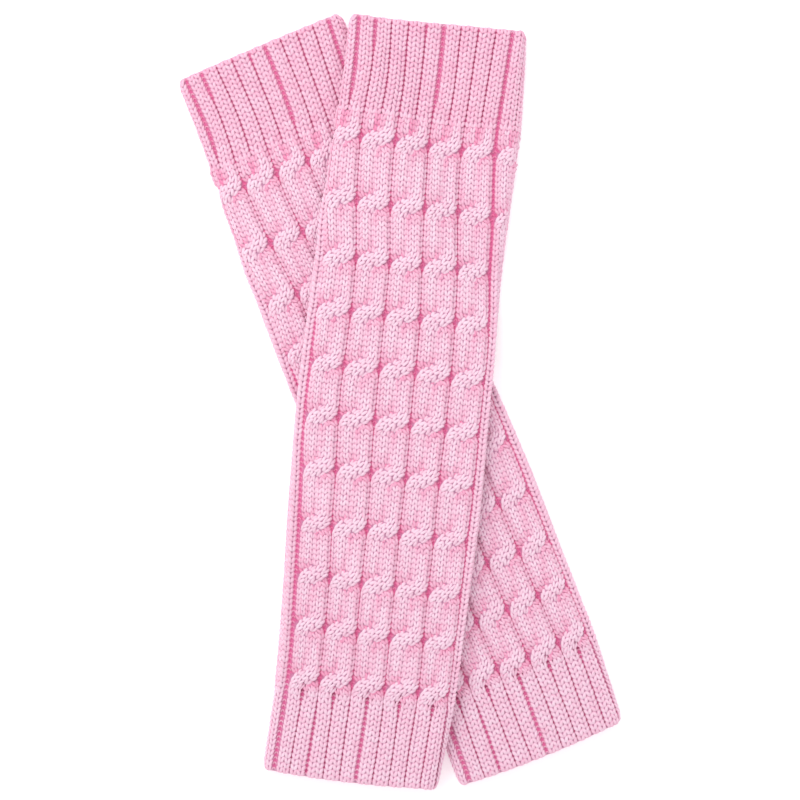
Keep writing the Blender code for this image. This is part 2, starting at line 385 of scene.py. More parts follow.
def strand_path(cable, right, along, row):
    """A strand of a cable along its length: its middle, rise and half width, and how far it is in shade.

    right says whether it starts on the right. Round a fold it runs straight, on the side it has at its row.
    """
    middle = np.where(right, STRAND_PLACES[1], STRAND_PLACES[0])
    step = STRAND_PLACES[1] - STRAND_PLACES[0]
    rise, spread, shaded = STRAND_RISE, 1.0, 0.0
    for count, crossing in enumerate(CROSSINGS):
        passed = smooth((along - crossing) / (2 * CROSSING_HALF_LENGTH) + 0.5)
        lifted = np.sin(math.pi * passed)
        on_top = right == (count % 2 == 0)
        middle = middle + np.where(on_top, -step, step) * passed
        rise = rise + lifted * (np.where(on_top, CROSSING_RISE, HIDDEN_STRAND_RISE) - STRAND_RISE)
        spread = spread + CROSSING_SPREAD * lifted
        shaded = shaded + smooth(1 - np.abs(along - crossing) / SHADE_REACH) * ~on_top
    straight = bend_of(cable + 0.5, row)[2] > BANDS_END_AT
    on_right = right == (np.searchsorted(CROSSINGS, row) % 2 == 0)
    middle = np.where(straight, np.where(on_right, STRAND_PLACES[1], STRAND_PLACES[0]), middle)
    rise, spread = np.where(straight, STRAND_RISE, rise), np.where(straight, 1.0, spread)
    share = cable_share(along)
    starts_right = right == ((along < LENGTH / 2) | (len(CROSSINGS) % 2 == 0))
    rib = np.where(starts_right, RIB_PLACES[1], RIB_PLACES[0])
    middle = rib + (middle - rib) * share
    rise = RIB_RISE + (rise - RIB_RISE) * share
    half_width = RIB_HALF_WIDTH + (STRAND_HALF_WIDTH * spread - RIB_HALF_WIDTH) * share
    return middle, rise, half_width, shaded * share * ~straight


def hem_share(along):
    """How much of its relief the knitting keeps near a hem."""
    from_hem = np.minimum(along, LENGTH - along)
    return HEM_SHARE + (1 - HEM_SHARE) * smooth(from_hem / HEM_ROUNDING)


def beside_gutter(place, along):
    """How much of its relief the knitting keeps beside the gutter between two cables."""
    kept = smooth(np.minimum(place, 1 - place) / GUTTER_HALF_WIDTH) ** 0.5
    return 1 + (kept - 1) * cable_share(along)


def pressed(height, turns, along):
    """What is left of a height of relief where the tube bends round its folded side."""
    lowered = smooth(bend_of(turns, along)[2] / PRESSED_BY)
    return height - np.maximum(height - RIB_RISE, 0.0) * lowered


def strand_height(right, turns, along):
    """How far one strand's rounded top stands out of the wall."""
    place = turns % 1.0
    middle, rise, half_width, _ = strand_path(np.floor(turns), np.full(place.shape, right), along, along)
    dome = np.sqrt(np.clip(1 - ((place - middle) / half_width) ** 2, 0.0, 1.0))
    return pressed(rise * dome * beside_gutter(place, along) * hem_share(along), turns, along)


def split_open(along):
    """How far a cable's two strands stand apart where they become the ribs of the lower cuff, 0 to 1."""
    return np.exp(-(((along - SPLIT_AT) / SPLIT_REACH) ** 2))


def relief(turns, along):
    """How far the knitting stands out of the wall: the higher of a cable's two strands or ribs."""
    highest = np.maximum(strand_height(False, turns, along), strand_height(True, turns, along))
    return highest * (1 - split_open(along) * smooth(2 - 2 * np.abs(turns % 1.0 - 0.5) / SPLIT_HALF_WIDTH))


def drape(x, y):
    """How high the lower leg warmer holds the upper one up at spots of the plan."""
    inside = inside_outline(place_of("under"), x, y)
    return DRAPE_HEIGHT * smooth((inside + SLOPE_OUTSIDE) / (SLOPE_OUTSIDE + SLOPE_INSIDE))


def gaping(turns, along):
    """How far a place round the tube is pushed aside by the gutters that gape, in millimetres."""
    pushed = np.zeros(np.broadcast(turns, along).shape)
    for row in GAPES:
        gape = named(GAPE_COLUMNS, row)
        off = turns - gape["gutter"]
        opened = smooth((along - gape["start"]) / GAPE_FADE) * smooth((gape["end"] - along) / GAPE_FADE)
        pushed += np.sign(off) * np.clip(1 - 2 * np.abs(off), 0.0, 1.0) * opened * gape["gap"] / 2
    off = turns % 1.0 - 0.5
    return pushed + np.sign(off) * (1 - 2 * np.abs(off)) * split_open(along) * SPLIT_GAP / 2


def wander(turns, along, waves, length):
    """A slow swing from -1 to 1, with this many waves round the tube and this length down it."""
    round_it = 2 * math.pi * waves * turns / CABLES
    first, second = SWING_SHARES
    swing = first * np.sin(round_it + along / length)
    return swing + second * np.sin(along / (SECOND_SWING * length) - 2 * round_it)


def bend_of(turns, along):
    """The signed distance round the tube, its flat part's half width, and the angle round a fold."""
    flat = section("width", along) / 2 - RIB_RISE - FOLD_RADIUS
    round_it = 4 * flat + 2 * math.pi * TURN_RADIUS
    cable = section("cable", along)
    left_over = round_it - (LAST_SHOWN - FIRST_SHOWN) * cable
    beneath = np.maximum(turns - LAST_SHOWN, 0.0) / (FIRST_SHOWN + CABLES - LAST_SHOWN)
    around = np.minimum(turns, LAST_SHOWN) * cable + section("turn", along) + beneath * left_over
    around = around + gaping(turns, along) + GUTTER_WANDER * wander(turns, along, *GUTTER_WAVES)
    around = (around + round_it / 2) % round_it - round_it / 2
    return around, flat, np.clip((np.abs(around) - flat) / TURN_RADIUS, 0.0, math.pi)


def kept_under(bend):
    """How much of its relief the knitting keeps where a fold turns under."""
    return 1 - smooth((bend - RELIEF_FULL_TO) / (RELIEF_GONE_BY - RELIEF_FULL_TO))


def on_tube(garment, turns, along, out, fades=True):
    """Points of a leg warmer in metres, this far out of its wall. What fades is gone under a fold."""
    place = place_of(garment)
    around, flat, bend = bend_of(turns, along)
    past_fold = np.maximum(np.abs(around) - flat - math.pi * TURN_RADIUS, 0.0)
    straight = np.minimum(np.abs(around), flat) - past_fold
    radius = FOLD_RADIUS + out * (kept_under(bend) if fades else 1.0)
    across = np.where(around < 0, -1.0, 1.0) * (straight + radius * np.sin(bend))
    up = FOLD_RADIUS + radius * np.cos(bend)
    sideways = across / (section("width", along) / 2)
    middle = 1 - sideways**2
    corner = CORNER_DRAWN_IN * smooth((np.abs(sideways) - CORNER_START) / (1 - CORNER_START))
    upper = place["upper_bow"] * middle + place["lean"] * sideways - corner
    lower = place["lower_bow"] * middle - corner
    down_it = along + lower * smooth(1 - (LENGTH - along) / HEM_REACH)
    down_it = down_it - upper * smooth(1 - along / HEM_REACH)
    from_hem = np.minimum(along, LENGTH - along)
    down_it = down_it + ROW_WANDER * wander(turns, along, *ROW_WAVES) * smooth(from_hem / HEM_REACH)
    aside = centre_line(place, along) + across
    x, y = (place["hem"][i] + place["down"][i] * down_it + place["right"][i] * aside for i in (0, 1))
    if garment == "over":
        up = up + drape(x, y)
    return np.stack((x, y, up), axis=-1) * MM


def unit(vectors):
    """The same vectors at a length of 1."""
    return vectors / np.linalg.norm(vectors, axis=-1, keepdims=True)


def axes_at(point_at, ahead, aside):
    """Unit vectors down, right and out of a surface, and the metres of one of its steps down and right."""
    down = (point_at(ahead, 0.0) - point_at(-ahead, 0.0)) / (2 * ahead)
    right = (point_at(0.0, aside) - point_at(0.0, -aside)) / (2 * aside)
    right = right - (right * unit(down)).sum(-1, keepdims=True) * unit(down)
    out = np.cross(unit(down), unit(right))
    return unit(down), unit(right), out, np.linalg.norm(down, axis=-1), np.linalg.norm(right, axis=-1)


def bead_template(sides, rings, fullness):
    """A small closed bead: its points, faces and UVs. z runs 0 to 1 along it, and x and y are its girth."""
    bm = bmesh.new()
    bmesh.ops.create_uvsphere(bm, u_segments=sides, v_segments=rings, radius=1.0)
    points = np.array([v.co for v in bm.verts])
    faces = [[v.index for v in face.verts] for face in bm.faces]
    bm.free()
    girth = np.hypot(points[:, 0], points[:, 1])
    points[:, :2] *= np.where(girth > POLE, np.maximum(girth, POLE) ** (fullness - 1), 1.0)[:, None]
    points[:, 2] = (points[:, 2] + 1) / 2
    corners = []
    for face in faces:
        angles = np.arctan2(points[face, 1], points[face, 0]) / (2 * math.pi) % 1.0
        poles = girth[face] < POLE
        ring = angles[~poles]
        angles = np.where(angles < ring.max() - 0.5, angles + 1, angles)
        angles[poles] = angles[~poles].mean()
        corners += list(zip(angles, points[face, 2]))
    return points, faces, np.array(corners)


def joined_mesh(name, template, points, tints):
    """One mesh of many copies of a template: the points of each copy, and each point's tint."""
    _, faces, corner_uvs = template
    copies, count = points.shape[:2]
    flat = np.concatenate([np.array(face, dtype=np.int64) for face in faces])
    loops = (flat[None, :] + (np.arange(copies) * count)[:, None]).ravel().astype(np.int32)
    totals = np.tile(np.array([len(face) for face in faces], dtype=np.int32), copies)
    starts = np.concatenate(([0], np.cumsum(totals)[:-1])).astype(np.int32)
    mesh = bpy.data.meshes.new(name)
    mesh.vertices.add(copies * count)
    mesh.vertices.foreach_set("co", points.astype(np.float32).ravel())
    mesh.loops.add(len(loops))
    mesh.loops.foreach_set("vertex_index", loops)
    mesh.polygons.add(len(totals))
    mesh.polygons.foreach_set("loop_start", starts)
    mesh.polygons.foreach_set("loop_total", totals)
    mesh.update(calc_edges=True)
    uvs = np.tile(corner_uvs, (copies, 1)).astype(np.float32)
    mesh.uv_layers.new(name="UVMap").data.foreach_set("uv", uvs.ravel())
    mesh.attributes.new("tint", "FLOAT", "POINT").data.foreach_set("value", tints.astype(np.float32).ravel())
    mesh.shade_smooth()
    return mesh


def add_piece(name, mesh, material, garment, nodes):
    """Put a finished piece in the scene, with its material, its body and the solids that it stands for."""
    mesh.materials.append(material)
    piece = bpy.data.objects.new(name, mesh)
    bpy.context.scene.collection.objects.link(piece)
    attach(piece, "root")
    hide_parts(*[f"{garment}_{node}" for node in nodes])
    return piece


def shader_of(name):
    """A new material with its node tree and its main shader."""
    material = bpy.data.materials.new(name)
    material.use_nodes = True
    return material, material.node_tree, material.node_tree.nodes["Principled BSDF"]


def colour_ramp(tree, stops):
    """A colour ramp node through (position, colour) stops, the first and last at its ends."""
    ramp = tree.nodes.new("ShaderNodeValToRGB")
    elements = ramp.color_ramp.elements
    for position, _ in stops[1:-1]:
        elements.new(position)
    for element, (position, colour) in zip(elements, stops, strict=True):
        element.position = position
        element.color = (*colour, 1)
    return ramp


def tint_node(tree):
    """The node that reads each point's tint."""
    tint = tree.nodes.new("ShaderNodeAttribute")
    tint.attribute_name = "tint"
    return tint.outputs["Fac"]


def math_node(tree, operation, *values):
    """A math node whose inputs are numbers or other nodes' sockets."""
    node = tree.nodes.new("ShaderNodeMath")
    node.operation = operation
    for socket, value in zip(node.inputs, values):
        if isinstance(value, float):
            socket.default_value = value
        else:
            tree.links.new(value, socket)
    return node.outputs[0]


def add_bump(tree, shader, height, strength, distance):
    """Raise the shader's surface by a height pattern."""
    bump = tree.nodes.new("ShaderNodeBump")
    bump.inputs["Strength"].default_value = strength
    bump.inputs["Distance"].default_value = distance
    tree.links.new(height, bump.inputs["Height"])
    tree.links.new(bump.outputs["Normal"], shader.inputs["Normal"])


# The finishes: how much the yarn's tint is mottled, how many bands twist round it, the wave of a knitted
# row and the slant of its stitches, and the strength and depth of the bumps, in metres.
MOTTLING = 0.4
TWIST_BANDS = 0.62
TWIST_BUMP = (0.2, 0.3 * MM)
STITCH_WAVE = 0.35
STITCH_SLANT = 1.6
CLOTH_BUMP = (0.7, 0.6 * MM)


def yarn_material(name, colours):
    """Plied yarn of two twisted strands, paler where it stands proud and deeper in the hollows: painted
    highlight and shade.
    """
    material, tree, shader = shader_of(name)
    place = tree.nodes.new("ShaderNodeTexCoord")
    mottle = tree.nodes.new("ShaderNodeTexNoise")
    mottle.inputs["Scale"].default_value = 420.0
    mottle.inputs["Detail"].default_value = 2.0
    tree.links.new(place.outputs["Object"], mottle.inputs["Vector"])
    mottled = math_node(tree, "MULTIPLY_ADD", mottle.outputs["Fac"], MOTTLING, tint_node(tree))
    tint = math_node(tree, "SUBTRACT", mottled, MOTTLING / 2)
    ramp = colour_ramp(tree, ((0.0, colours.deep), (0.5, colours.middle), (1.0, colours.crest_highlight)))
    tree.links.new(tint, ramp.inputs["Fac"])
    tree.links.new(ramp.outputs["Color"], shader.inputs["Base Color"])
    twist = tree.nodes.new("ShaderNodeTexWave")
    twist.bands_direction = "DIAGONAL"
    twist.inputs["Scale"].default_value = TWIST_BANDS
    twist.inputs["Distortion"].default_value = 0.6
    tree.links.new(place.outputs["UV"], twist.inputs["Vector"])
    add_bump(tree, shader, twist.outputs["Fac"], *TWIST_BUMP)
    shader.inputs["Roughness"].default_value = colours.roughness
    shader.inputs["Specular IOR Level"].default_value = 0.2
    shader.inputs["Sheen Weight"].default_value = 0.25
    shader.inputs["Sheen Roughness"].default_value = 0.6
    return material


def cloth_material(name, colours):
    """The cloth between the stitches, deep pink as painted shade in the gutters, a painted shadow behind the
    stitches, and its plain knitted underside.
    """
    material, tree, shader = shader_of(name)
    stops = ((0.0, colours.middle), (SHADOW_TINT, colours.shadow), (1.0, colours.gutter))
    ramp = colour_ramp(tree, stops)
    tree.links.new(tint_node(tree), ramp.inputs["Fac"])
    tree.links.new(ramp.outputs["Color"], shader.inputs["Base Color"])
    place = tree.nodes.new("ShaderNodeTexCoord")
    wales = tree.nodes.new("ShaderNodeSeparateXYZ")
    tree.links.new(place.outputs["UV"], wales.inputs["Vector"])
    slant = math_node(tree, "PINGPONG", wales.outputs["X"], 0.5)
    row = math_node(tree, "MULTIPLY", math_node(tree, "ADD", wales.outputs["Y"], slant), 2 * math.pi)
    stitch = math_node(tree, "MULTIPLY", math_node(tree, "SINE", row), STITCH_WAVE)
    height = math_node(tree, "MULTIPLY_ADD", slant, STITCH_SLANT, stitch)
    add_bump(tree, shader, height, *CLOTH_BUMP)
    shader.inputs["Roughness"].default_value = colours.roughness
    shader.inputs["Sheen Weight"].default_value = 0.2
    return material


def millimetres(name, description, default):
    """A length property, its default in millimetres."""
    return FloatProperty(name=name, description=description, default=default * MM, unit="LENGTH")


def pink(name, description, default):
    """A colour property."""
    return FloatVectorProperty(name=name, description=description, size=3, subtype="COLOR", default=default)


class TubeSizes(PropertyGroup):
    """How the cloth under the stitches is made"""

    shown_columns: IntProperty(name="Columns", description="Columns of faces in each cable", default=14)
    row_step: millimetres("Row step", "Length of a face", 1.7)
    sink: millimetres("Sink", "How far the cloth lies below the stitches' middles", 0.8)


class StitchSizes(PropertyGroup):
    """The sizes of a knit stitch"""

    row: millimetres("Row", "Height of a row of stitches", ROW_HEIGHT)
    wale: millimetres("Wale", "Width of a cable's stitch", 3.45)
    cable_wale: FloatProperty(name="Cable wale", description="Share of a cable between wales", default=0.172)
    rib_wale: FloatProperty(name="Rib wale", description="Share of a cable from rib to wale", default=0.115)
    overlap: FloatProperty(name="Overlap", description="Length of a stitch's leg in rows", default=1.35)
    yarn: millimetres("Yarn", "Thickness of the yarn", 1.86)
    foot: FloatProperty(name="Foot", description="Share of the width from middle to foot", default=0.12)
    splay: FloatProperty(name="Splay", description="Share of the width that the legs spread", default=0.28)
    jitter: millimetres("Jitter", "Unevenness of the stitches", 0.06)
    purl: millimetres("Purl", "Width of a gutter's purl stitch", 3.0)


class YarnColours(PropertyGroup):
    """The colours of the yarn, from the painted shade in the hollows to the painted highlight on the crests
    """

    # The deep colour is painted shade in the hollows, and the crest colour a painted highlight on the
    # crests.
    deep: pink("Deep", "In the hollows", (0.88, 0.20, 0.42))
    middle: pink("Middle", "On the slopes", (0.90, 0.45, 0.62))
    crest_highlight: pink("Crest", "On the crests", (0.95, 0.69, 0.82))
    # The gutter colour is painted shade between the cables, and the shadow colour painted shade behind the
    # stitches.
    gutter: pink("Gutter", "Between the cables", (0.79, 0.145, 0.35))
    shadow: pink("Shadow", "Behind the stitches", (0.60, 0.29, 0.45))
    roughness: FloatProperty(name="Roughness", description="Of all the yarn", default=0.85, subtype="FACTOR")


class StageSettings(PropertyGroup):
    """The floor, the light and the camera"""

    floor: FloatProperty(name="Floor", description="Width of the floor", default=6.0, unit="LENGTH")
    height: FloatProperty(name="Camera height", description="Above the floor", default=1.6, unit="LENGTH")
    lens: FloatProperty(name="Lens", description="Focal length in millimetres", default=135.0)
    sky: FloatProperty(name="Sky", description="Strength of the even light", default=0.885)
    key: FloatProperty(name="Key", description="Power of the soft light above, in watts", default=7.0)
    glow: FloatProperty(name="Glow", description="Strength of the light up from the floor", default=0.3)


class KNITTING_OT_cloth(Operator):
    """Make each leg warmer's flattened tube, the cloth that is seen between the stitches"""

    bl_idname = "knitting.cloth"
    bl_label = "Make the Cloth"

    def execute(self, context):
        material = cloth_material("cloth_yarn", context.scene.knit_colours)
        for garment in GARMENTS:
            mesh = tube_mesh(garment, context.scene.knit_tube)
            add_piece(garment + "_cloth", mesh, material, garment, WHOLE_TUBE)
        return {"FINISHED"}


def tube_mesh(garment, sizes):
    """The tube's wall under the stitches, its plain inner wall, and the rims between them at the hems."""
    bm = bmesh.new()
    tint = bm.verts.layers.float.new("tint")
    uv = bm.loops.layers.uv.new("UVMap")
    shown = (LAST_SHOWN - FIRST_SHOWN) * sizes.shown_columns + 1
    underside = np.linspace(LAST_SHOWN, FIRST_SHOWN + CABLES, UNDERSIDE_COLUMNS + 1)[1:]
    turns = np.concatenate((np.linspace(FIRST_SHOWN, LAST_SHOWN, shown), underside))
    outer_rows = np.linspace(0.0, LENGTH, round(LENGTH * MM / sizes.row_step) + 1)
    inner_rows = np.linspace(0.0, LENGTH, INSIDE_ROWS)
    for rows, inner in ((outer_rows, False), (inner_rows, True)):
        made = bmesh.ops.create_grid(bm, x_segments=len(turns) - 1, y_segments=len(rows) - 1, size=1.0)
        verts = made["verts"]
        where = (np.array([v.co for v in verts]) + 1) / 2
        t = turns[np.rint(where[:, 0] * (len(turns) - 1)).astype(int)]
        a = rows[np.rint(where[:, 1] * (len(rows) - 1)).astype(int)]
        if inner:
            points = on_tube(garment, t, a, -WALL, fades=False)
            tints = np.zeros(len(t))
        else:
            points, tints = outer_wall(garment, t, a, sizes.sink / MM)
        for vertex, point, value in zip(verts, points, tints):
            vertex.co = point
            vertex[tint] = value
        wale_row = {verts[i]: (t[i] * WALES_IN_CABLE, a[i] / ROW_HEIGHT) for i in range(len(verts))}
        faces = {face for vertex in verts for face in vertex.link_faces}
        for face in faces:
            for loop in face.loops:
                loop[uv].uv = wale_row[loop.vert]
        if inner:
            bmesh.ops.reverse_faces(bm, faces=list(faces))
    bmesh.ops.remove_doubles(bm, verts=bm.verts[:], dist=JOIN_WITHIN)
    for face in bm.faces:
        face.smooth = True
    close_rims(bm, place_of(garment))
    bmesh.ops.recalc_face_normals(bm, faces=bm.faces[:])
    mesh = bpy.data.meshes.new(garment + "_cloth")
    bm.to_mesh(mesh)
    bm.free()
    return mesh


def outer_wall(garment, turns, along, sink):
    """Points of the cloth under the stitches, and tints: 1 for the painted shade in the gutters, 0
    underneath and at the hems.
    """
    height = relief(turns, along)
    sunk = sink * (SINK_IN_GUTTER + (1 - SINK_IN_GUTTER) * smooth(height / FULL_SINK_AT))
    under = smooth((bend_of(turns, along)[2] - STITCHES_END_AT) / (RELIEF_GONE_BY - STITCHES_END_AT))
    # Painted shade: deep pink in the gutters, falling to the painted shadow behind the stitches.
    tints = (1 - SHADOW_TINT * smooth((height - GUTTER_SHADE_TO) / GUTTER_SHADE_FADE)) * (1 - under)
    tints *= (along > 0) & (along < LENGTH)
    return on_tube(garment, turns, along, height - sunk), tints


def close_rims(bm, place):
    """Bridge the tube's two walls at the upper hem and at the lower one, with flat faces."""
    for lower in (False, True):
        edges = [e for e in bm.edges if e.is_boundary and (along_of(place, e) > LENGTH / 2) == lower]
        for face in bmesh.ops.bridge_loops(bm, edges=edges)["faces"]:
            face.smooth = False


def along_of(place, edge):
    """How far down a leg warmer an edge lies."""
    spot = np.array(edge.verts[0].co.xy) / MM - place["hem"]
    return spot @ place["down"]


class KNITTING_OT_stitches(Operator):
    """Knit every stitch that shows, in ribs on the cuffs and in crossing strands on the legs"""

    bl_idname = "knitting.stitches"
    bl_label = "Knit the Stitches"

    def execute(self, context):
        sizes = context.scene.knit_stitches
        material = yarn_material("stitch_yarn", context.scene.knit_colours)
        template = bead_template(*STITCH_BEAD)
        for garment in GARMENTS:
            for row in ZONES:
                zone = named(ZONE_COLUMNS, row)
                name = f"{garment}_{zone['name']}_stitches"
                mesh = stitch_mesh(name, garment, zone, template, sizes)
                add_piece(name, mesh, material, garment, (zone["node"],))
        return {"FINISHED"}


def row_places(start, end, sizes):
    """Distances along the tube of the rows of stitches from start to end."""
    rows = round(LENGTH * MM / sizes.row)
    along = (np.arange(rows) + 0.5) * LENGTH / rows
    return along[(along >= start) & (along < end)]


def shows(garment, turns, along):
    """Whether a place on a leg warmer can be seen, above the folds' undersides and not covered."""
    seen = bend_of(turns, along)[2] < STITCHES_END_AT
    if garment == "under":
        spots = on_tube(garment, turns, along, 0.0) / MM
        seen &= inside_outline(place_of("over"), spots[:, 0], spots[:, 1]) < COVERED_FROM
    return seen


def stitch_places(garment, zone, sizes):
    """Every stitch of a zone that shows, as arrays of its cable, strand, wale and distance along."""
    cables = np.arange(FIRST_SHOWN, LAST_SHOWN)
    along = row_places(zone["start"], zone["end"], sizes)
    grid = np.meshgrid(cables, (False, True), (-1, 0, 1), along, indexing="ij")
    stitches = dict(zip(("cable", "right", "wale", "along"), (values.ravel() for values in grid)))
    stitches["lies"] = drawn_in(stitches["right"], stitches["along"])
    middle, _, half_width, stitches["shaded"] = strand_path(
        stitches["cable"], stitches["right"], stitches["lies"], stitches["along"]
    )
    share = cable_share(stitches["lies"])
    spacing = sizes.rib_wale + (sizes.cable_wale * half_width / STRAND_HALF_WIDTH - sizes.rib_wale) * share
    stitches["spacing"] = spacing
    stitches["place"] = middle + stitches["wale"] * spacing
    keep = (stitches["wale"] != 0) | (share > MIDDLE_WALE_FROM)
    keep &= shows(garment, stitches["cable"] + stitches["place"], stitches["lies"])
    return {name: values[keep] for name, values in stitches.items()}


def strand_point(garment, stitches, ahead, aside, sunk):
    """Points on the strands' rounded tops and the tops' heights.

    The points lie this far ahead along the strands, aside in cables, and sunk below the top.
    """
    along = drawn_in(stitches["right"], stitches["along"] + ahead)
    middle, rise, half_width, _ = strand_path(stitches["cable"], stitches["right"], along, stitches["along"])
    place = middle + stitches["wale"] * stitches["spacing"]
    from_middle = place - 0.5
    place = 0.5 + from_middle * (1 - SQUEEZE * cable_share(along) * (2 * from_middle) ** 4) + aside
    dome = np.sqrt(np.clip(1 - ((place - middle) / half_width) ** 2, DOME_EDGE, 1.0))
    turns = stitches["cable"] + place
    height = pressed(rise * dome * beside_gutter(place, along) * hem_share(along), turns, along)
    return on_tube(garment, turns, along, height - sunk), height


def placed(origin, right, down, out, x, y, z):
    """Points at these offsets to the right of, down from and out of each origin."""
    return (
        origin[:, None, :]
        + right[:, None, :] * x[..., None]
        + down[:, None, :] * y[..., None]
        + out[:, None, :] * z[..., None]
    )


def stitch_mesh(name, garment, zone, template, sizes):
    """One joined mesh of a zone's stitches, each a pair of plump yarn legs that meet at the bottom."""
    stitches = stitch_places(garment, zone, sizes)
    count = len(stitches["along"])
    random = np.random.default_rng(len(name) * SEED_STEP + int(zone["start"]))
    sunk = sizes.yarn / MM * STITCH_SUNK
    origin, height = strand_point(garment, stitches, 0.0, 0.0, sunk)
    axes = axes_at(lambda a, b: strand_point(garment, stitches, a, b, sunk)[0], *SLOPE_STEPS)
    down, right, out, step_down, step_right = axes
    origin = origin + random.normal(0, sizes.jitter, origin.shape)
    length = (step_down * sizes.row / MM * sizes.overlap)[:, None]
    lean = random.normal(0, LEG_LEAN, count)
    share = cable_share(stitches["lies"])
    wide = (step_right * stitches["spacing"] * (2 - share))[:, None]
    tone = stitch_tones(stitches, height, share) + zone["tone"] + random.normal(0, UNEVEN_TONE, count)
    points = template[0]
    s = points[:, 2]
    thick = sizes.yarn / 2 * np.clip(wide / sizes.wale, *YARN_RANGE)
    legs = []
    tints = []
    for side in (-1, 1):
        reach = sizes.foot + sizes.splay * s
        x = wide * side * reach + points[:, 0] * thick
        y = length * (0.5 - s)
        arch = LEG_ARCH * np.sin(math.pi * s) - LEG_DIP * s**2 - LEG_BELOW
        z = arch * MM + points[:, 1] * thick * YARN_FLATNESS
        x = x + lean[:, None] * y
        legs.append(placed(origin, right, down, out, x, y, z))
        # Painted highlight on the crest of each leg and painted shade at its edges.
        raised = smooth((z / MM + CREST_FROM) / CREST_OVER)
        tints.append(tone[:, None] + LEG_CREST_HIGHLIGHT * raised - LEG_EDGE_SHADE)
    return joined_mesh(name, template, above_floor(legs), np.concatenate(tints))


def stitch_tones(stitches, height, share):
    """How pale each stitch is, by painted highlight and shade: its height, a crossing's shade and the
    puckers.
    """
    outer = np.abs(2 * stitches["place"] - 1)
    from_pucker = (stitches["lies"] - PUCKER_AT) / PUCKER_REACH
    # A patch of painted shade where the ribs of the upper cuff run into a cable.
    pucker_shade_mask = np.exp(-(from_pucker**2)) * smooth(1 - np.abs(stitches["place"] - 0.5) / PUCKER_HALF_WIDTH)
    # Painted highlight by height, and painted shade beside a crossing.
    tone = FOOT_TONE + HEIGHT_HIGHLIGHT * smooth((height - TONE_FROM) / TONE_OVER)
    tone = tone - (SHADE_TONE - SHADE_EASED * outer) * stitches["shaded"]
    # Painted shade in the middle of a cable and in the puckers.
    return tone - MIDDLE_SHADE * share * (1 - outer) - PUCKER_SHADE * pucker_shade_mask


def above_floor(beads):
    """The points of several lots of beads as one array, none of them below the floor."""
    beads = np.concatenate(beads)
    beads[..., 2] = np.maximum(beads[..., 2], 0.0)
    return beads


class KNITTING_OT_purls(Operator):
    """Knit the purl stitches at the bottom of the gutters between the cables and the ribs"""

    bl_idname = "knitting.purls"
    bl_label = "Knit the Gutters"

    def execute(self, context):
        sizes = context.scene.knit_stitches
        material = yarn_material("gutter_yarn", context.scene.knit_colours)
        template = bead_template(*PURL_BEAD)
        for garment in GARMENTS:
            name = garment + "_purls"
            mesh = purl_mesh(name, garment, template, sizes)
            add_piece(name, mesh, material, garment, WHOLE_TUBE)
        return {"FINISHED"}


def purl_mesh(name, garment, template, sizes):
    """One joined mesh of purl stitches, each a shallow arch of two beads lying across its gutter."""
    along = row_places(0.0, LENGTH, sizes)
    gutters = np.arange(2 * FIRST_SHOWN, 2 * LAST_SHOWN + 1) / 2
    turns, along = (values.ravel() for values in np.meshgrid(gutters, along, indexing="ij"))
    keep = ((turns % 1 == 0) | (cable_share(along) < RIB_PURLS_TO)) & shows(garment, turns, along)
    turns, along = turns[keep], along[keep]
    origin = on_tube(garment, turns, along, PURL_OUT)
    axes = axes_at(lambda a, b: on_tube(garment, turns + b, along + a, PURL_OUT), *SLOPE_STEPS)
    down, right, out, _, _ = axes
    random = np.random.default_rng(PURL_SEED)
    origin = origin + random.normal(0, sizes.jitter, origin.shape)
    on_leg = (turns > FIRST_SHOWN + 1) & (cable_share(along) > 0.5)
    # Purls get painted shade in the gutters, less of it in the cuffs and at the left fold.
    tone = np.where(on_leg, LEG_PURL_TONE, OTHER_PURL_TONE) + LOWER_PURL_TONE * (along > LOWER_CUFF_START)
    tone = tone + random.normal(0, UNEVEN_PURL_TONE, len(along))
    points = template[0]
    s = points[:, 2]
    beads = []
    for side in (-1, 1):
        overlapping = (1 + PURL_OVERLAP) * s - PURL_OVERLAP
        x = np.broadcast_to(side * sizes.purl / 2 * overlapping, (len(along), len(s)))
        slanted = (PURL_SLANT * s - PURL_SLANT / 2) * sizes.row
        y = np.broadcast_to(slanted + points[:, 0] * PURL_RADII[0] * MM, x.shape)
        z = np.broadcast_to(-PURL_DIP * s**2 * MM + points[:, 1] * PURL_RADII[1] * MM, x.shape)
        beads.append(placed(origin, right, down, out, x, y, z))
    tints = np.repeat(np.tile(tone, 2)[:, None], len(s), axis=1)
    return joined_mesh(name, template, above_floor(beads), tints)


class KNITTING_OT_hems(Operator):
    """Finish the four open ends with the edge loops that were cast on and bound off"""

    bl_idname = "knitting.hems"
    bl_label = "Finish the Hems"

    def execute(self, context):
        material = yarn_material("hem_yarn", context.scene.knit_colours)
        template = bead_template(*HEM_BEAD)
        for garment in GARMENTS:
            for node, along in (("upper_cuff", HEM_AT), ("lower_cuff", LENGTH - HEM_AT)):
                name = f"{garment}_{node}_hem"
                mesh = hem_mesh(name, garment, along, template)
                add_piece(name, mesh, material, garment, (node,))
        return {"FINISHED"}


